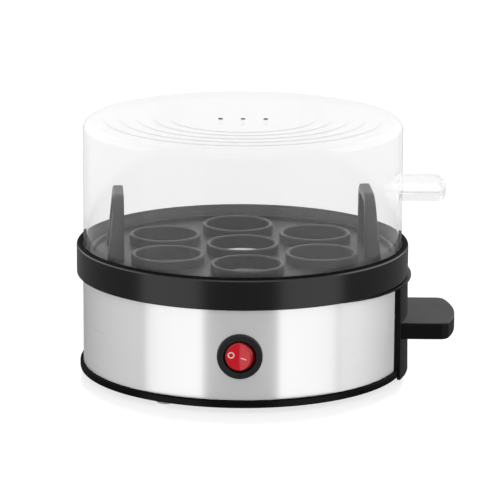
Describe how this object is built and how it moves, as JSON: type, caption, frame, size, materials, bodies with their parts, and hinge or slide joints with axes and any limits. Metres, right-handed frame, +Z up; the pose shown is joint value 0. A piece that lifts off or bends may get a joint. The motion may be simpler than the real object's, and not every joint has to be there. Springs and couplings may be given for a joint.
{
  "type": "egg boiler",
  "caption": "Round countertop egg boiler: steel-banded heating base with rocker switch and side tab, lift-out egg tray with finger loops, and clear lift-off lid.",
  "frame": {"origin": "centre of the overall footprint on the surface the feet stand on; the round body's axis is 12.15 mm towards -X of it", "axes": "+Z up along the body's axis, +X towards the side tab, -Y towards the switch, +Y towards the cord entry"},
  "size_m": [0.1942, 0.1711, 0.1318],
  "materials": {
    "black_plastic": "moulded black plastic, satin gloss",
    "inner_plastic": "dark moulded plastic",
    "brushed_steel": "stainless sheet brushed around the body",
    "clear_plastic": "clear moulded plastic, slightly hazy",
    "tray_plastic": "dark moulded plastic",
    "rocker_red": "translucent red plastic",
    "switch_black": "black plastic",
    "foot_rubber": "grey rubber",
    "silicone": "pale silicone rubber",
    "stainless_plate": "pressed stainless sheet, satin",
    "cast_aluminium": "plain aluminium",
    "zinc_screw": "zinc plated steel",
    "white_ceramic": "white insulating material",
    "brass_terminal": "plain brass",
    "wire_brown": "brown wire insulation",
    "wire_blue": "blue wire insulation",
    "wire_green": "green and yellow wire insulation",
    "lamp_glass": "small glass lamp"
  },
  "bodies": {
    "base": {"rubber_feet": "foot_rubber", "bottom_cover": "black_plastic", "cover_screws": "zinc_screw", "base_housing": "inner_plastic", "steel_band": "brushed_steel", "collar_ring": "black_plastic", "plate_seal": "silicone", "heating_plate": "stainless_plate", "plate_studs": "zinc_screw", "plate_clamps": "zinc_screw", "plate_nuts": "zinc_screw", "heat_spreader": "cast_aluminium", "heating_element": "cast_aluminium", "element_insulators": "white_ceramic", "element_pins": "zinc_screw", "thermostat_cap": "cast_aluminium", "thermostat_bracket": "zinc_screw", "thermostat_body": "inner_plastic", "thermostat_blades": "brass_terminal", "sensor_screws": "zinc_screw", "thermal_fuse": "zinc_screw", "fuse_clip": "zinc_screw", "terminal_block": "white_ceramic", "terminal_screws": "brass_terminal", "wire_live": "wire_brown", "wire_switched": "wire_brown", "wire_heater": "wire_brown", "wire_fuse": "wire_blue", "wire_neutral": "wire_blue", "wire_earth": "wire_green", "earth_tag": "brass_terminal", "switch_bezel": "switch_black", "switch_terminals": "brass_terminal", "neon_lamp": "lamp_glass", "cord_gland": "switch_black", "handle": "black_plastic", "handle_screws": "zinc_screw"},
    "tray": {"egg_tray": "tray_plastic", "tray_loop_left": "tray_plastic", "tray_loop_right": "tray_plastic"},
    "lid": {"lid": "clear_plastic"},
    "rocker": {"rocker": "rocker_red"}
  },
  "joints": [
    {"name": "tray_lift", "type": "slide", "parent": "base", "child": "tray", "axis": [0, 0, 1], "range_m": [0, 0.12]},
    {"name": "lid_lift", "type": "slide", "parent": "tray", "child": "lid", "axis": [0, 0, 1], "range_m": [0, 0.12]},
    {"name": "rocker_tilt", "type": "hinge", "parent": "base", "child": "rocker", "pos_m": [-0.01215, -0.0803, 0.0287], "axis": [0, 0, 1], "range_deg": [0, 16]}
  ]
}
